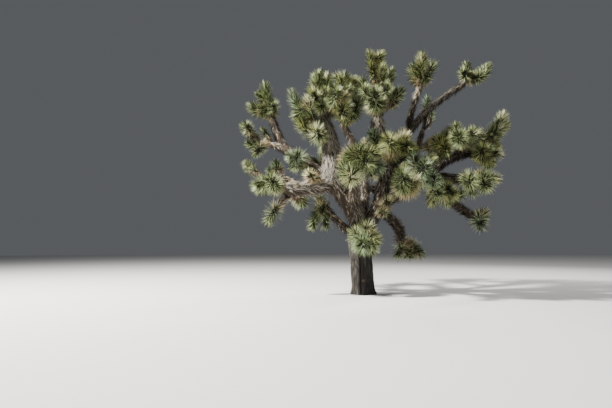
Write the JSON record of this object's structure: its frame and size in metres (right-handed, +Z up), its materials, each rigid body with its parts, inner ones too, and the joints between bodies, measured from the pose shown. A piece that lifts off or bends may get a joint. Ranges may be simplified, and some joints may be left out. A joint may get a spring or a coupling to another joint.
{
  "type": "joshua tree",
  "caption": "Whole joshua tree: a stout flared trunk, thick forking boughs in dead-leaf thatch, and spiky dagger-leaf heads at every tip.",
  "frame": {"origin": "middle of the flat cut under the trunk, at ground level", "axes": "+Z up, +X to the right and +Y away from the side that the picture shows; the crown is widest along X"},
  "size_m": [8.8125, 6.0289, 7.6825],
  "materials": {
    "trunk_bark": "deeply furrowed dry bark",
    "bough_bark": "rough bark under dead-leaf thatch",
    "foliage": "stiff waxy leaves"
  },
  "bodies": {
    "root": {"trunk": "trunk_bark", "west_stem": "bough_bark", "east_stem": "bough_bark", "back_stem": "bough_bark", "low_west_bough": "bough_bark", "low_east_bough": "bough_bark", "northwest_bough": "bough_bark", "west_upper_bough": "bough_bark", "west_upper_arm": "bough_bark", "west_bough": "bough_bark", "centre_bough": "bough_bark", "back_bough": "bough_bark", "back_west_bough": "bough_bark", "back_east_bough": "bough_bark", "north_bough": "bough_bark", "northeast_bough": "bough_bark", "northeast_arm": "bough_bark", "northeast_long_arm": "bough_bark", "inner_east_bough": "bough_bark", "east_bough": "bough_bark", "east_lower_bough": "bough_bark", "east_upper_bough": "bough_bark", "east_hanging_bough": "bough_bark", "west_crown": "foliage", "west_outer_heads": "foliage", "west_under_head": "foliage", "west_thin_heads": "foliage", "west_end_heads": "foliage", "west_hanging_heads": "foliage", "west_inner_tuft": "foliage", "low_west_heads": "foliage", "northwest_left_heads": "foliage", "northwest_top_left": "foliage", "northwest_top_right": "foliage", "cross_heads": "foliage", "centre_low_heads": "foliage", "back_bough_heads": "foliage", "back_west_heads": "foliage", "back_east_heads": "foliage", "back_middle_heads": "foliage", "pillar_heads": "foliage", "north_left_heads": "foliage", "north_right_heads": "foliage", "north_top_heads": "foliage", "northeast_heads": "foliage", "northeast_far_heads": "foliage", "inner_east_heads": "foliage", "inner_east_front": "foliage", "east_upper_heads": "foliage", "east_far_heads": "foliage", "east_drooping_heads": "foliage", "east_end_heads": "foliage", "east_low_heads": "foliage", "east_under_heads": "foliage", "east_front_heads": "foliage", "east_middle_heads": "foliage", "east_hanging_heads": "foliage", "trunk_front_heads": "foliage", "east_stem_tufts": "foliage", "low_east_heads": "foliage"}
  },
  "joints": []
}
